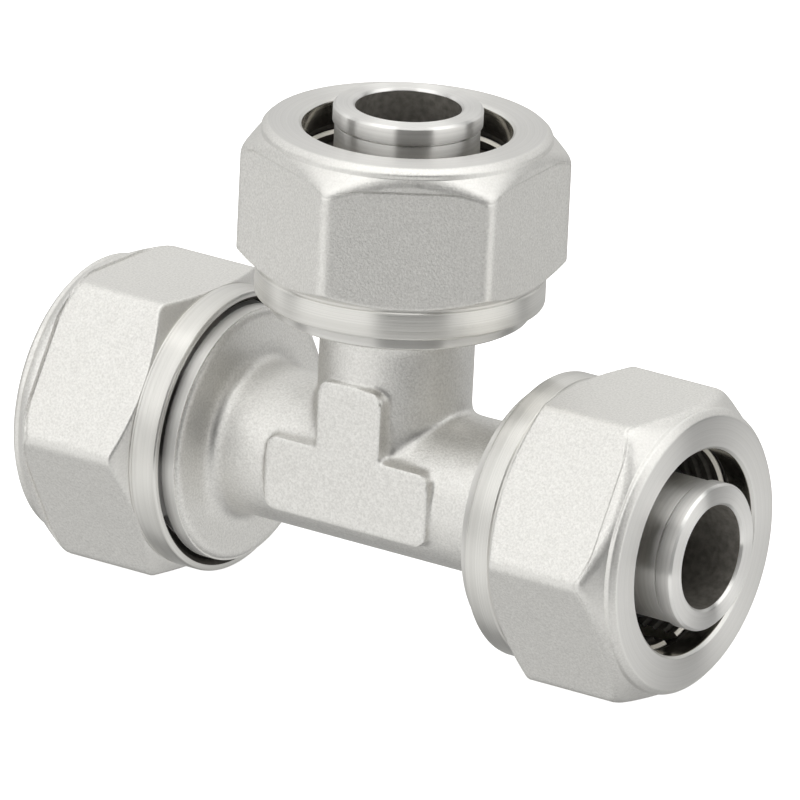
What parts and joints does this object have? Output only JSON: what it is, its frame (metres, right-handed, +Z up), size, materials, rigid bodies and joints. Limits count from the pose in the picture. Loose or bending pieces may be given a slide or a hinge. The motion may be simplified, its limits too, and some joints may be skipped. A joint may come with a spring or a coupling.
{
  "type": "compression tee fitting",
  "caption": "Equal compression tee for 16 mm multilayer pipe: forged nickel-plated brass body, hose tails, split clamp rings and hexagon union nuts.",
  "frame": {"origin": "where the run axis and the branch axis cross, in the middle of the body", "axes": "+X along the run to the right, +Z up along the branch, +Y to the back"},
  "size_m": [0.061, 0.0264, 0.0421],
  "materials": {
    "forged_nickel": "fine-blasted nickel plating on forged brass",
    "nut_nickel": "nickel plating, fine-blasted flats and turned ends",
    "turned_nickel": "bright turned nickel plating",
    "ring_nickel": "turned, lightly plated brass",
    "rubber": "smooth black rubber",
    "ptfe": "waxy white plastic"
  },
  "bodies": {
    "tee": {"tee_body": "forged_nickel", "left_tail_insert": "turned_nickel", "left_insert_seal": "rubber", "left_washer": "ptfe", "left_inner_o_ring": "rubber", "left_outer_o_ring": "rubber", "right_tail_insert": "turned_nickel", "right_insert_seal": "rubber", "right_washer": "ptfe", "right_inner_o_ring": "rubber", "right_outer_o_ring": "rubber", "top_tail_insert": "turned_nickel", "top_insert_seal": "rubber", "top_washer": "ptfe", "top_inner_o_ring": "rubber", "top_outer_o_ring": "rubber"},
    "left_ring": {"left_clamp_ring": "ring_nickel"},
    "left_nut": {"left_nut": "nut_nickel"},
    "right_ring": {"right_clamp_ring": "ring_nickel"},
    "right_nut": {"right_nut": "nut_nickel"},
    "top_ring": {"top_clamp_ring": "ring_nickel"},
    "top_nut": {"top_nut": "nut_nickel"}
  },
  "joints": [
    {"name": "left_ring_slide", "type": "slide", "parent": "tee", "child": "left_ring", "axis": [-1, 0, 0], "range_m": [0, 0.00545]},
    {"name": "left_nut_turn", "type": "hinge", "parent": "left_ring", "child": "left_nut", "pos_m": [-0.02227, 0, 0], "axis": [-1, 0, 0], "range_deg": [0, 1080]},
    {"name": "right_ring_slide", "type": "slide", "parent": "tee", "child": "right_ring", "axis": [1, 0, 0], "range_m": [0, 0.00545]},
    {"name": "right_nut_turn", "type": "hinge", "parent": "right_ring", "child": "right_nut", "pos_m": [0.02227, 0, 0], "axis": [1, 0, 0], "range_deg": [0, 1080]},
    {"name": "top_ring_slide", "type": "slide", "parent": "tee", "child": "top_ring", "axis": [0, 0, 1], "range_m": [0, 0.00545]},
    {"name": "top_nut_turn", "type": "hinge", "parent": "top_ring", "child": "top_nut", "pos_m": [0, 0, 0.02227], "axis": [0, 0, 1], "range_deg": [0, 1080]}
  ],
  "couplings": [
    {"joint": "left_ring_slide", "follows": "left_nut_turn", "m_per_rad": 0.00028871},
    {"joint": "right_ring_slide", "follows": "right_nut_turn", "m_per_rad": 0.00028871},
    {"joint": "top_ring_slide", "follows": "top_nut_turn", "m_per_rad": 0.00028871}
  ]
}
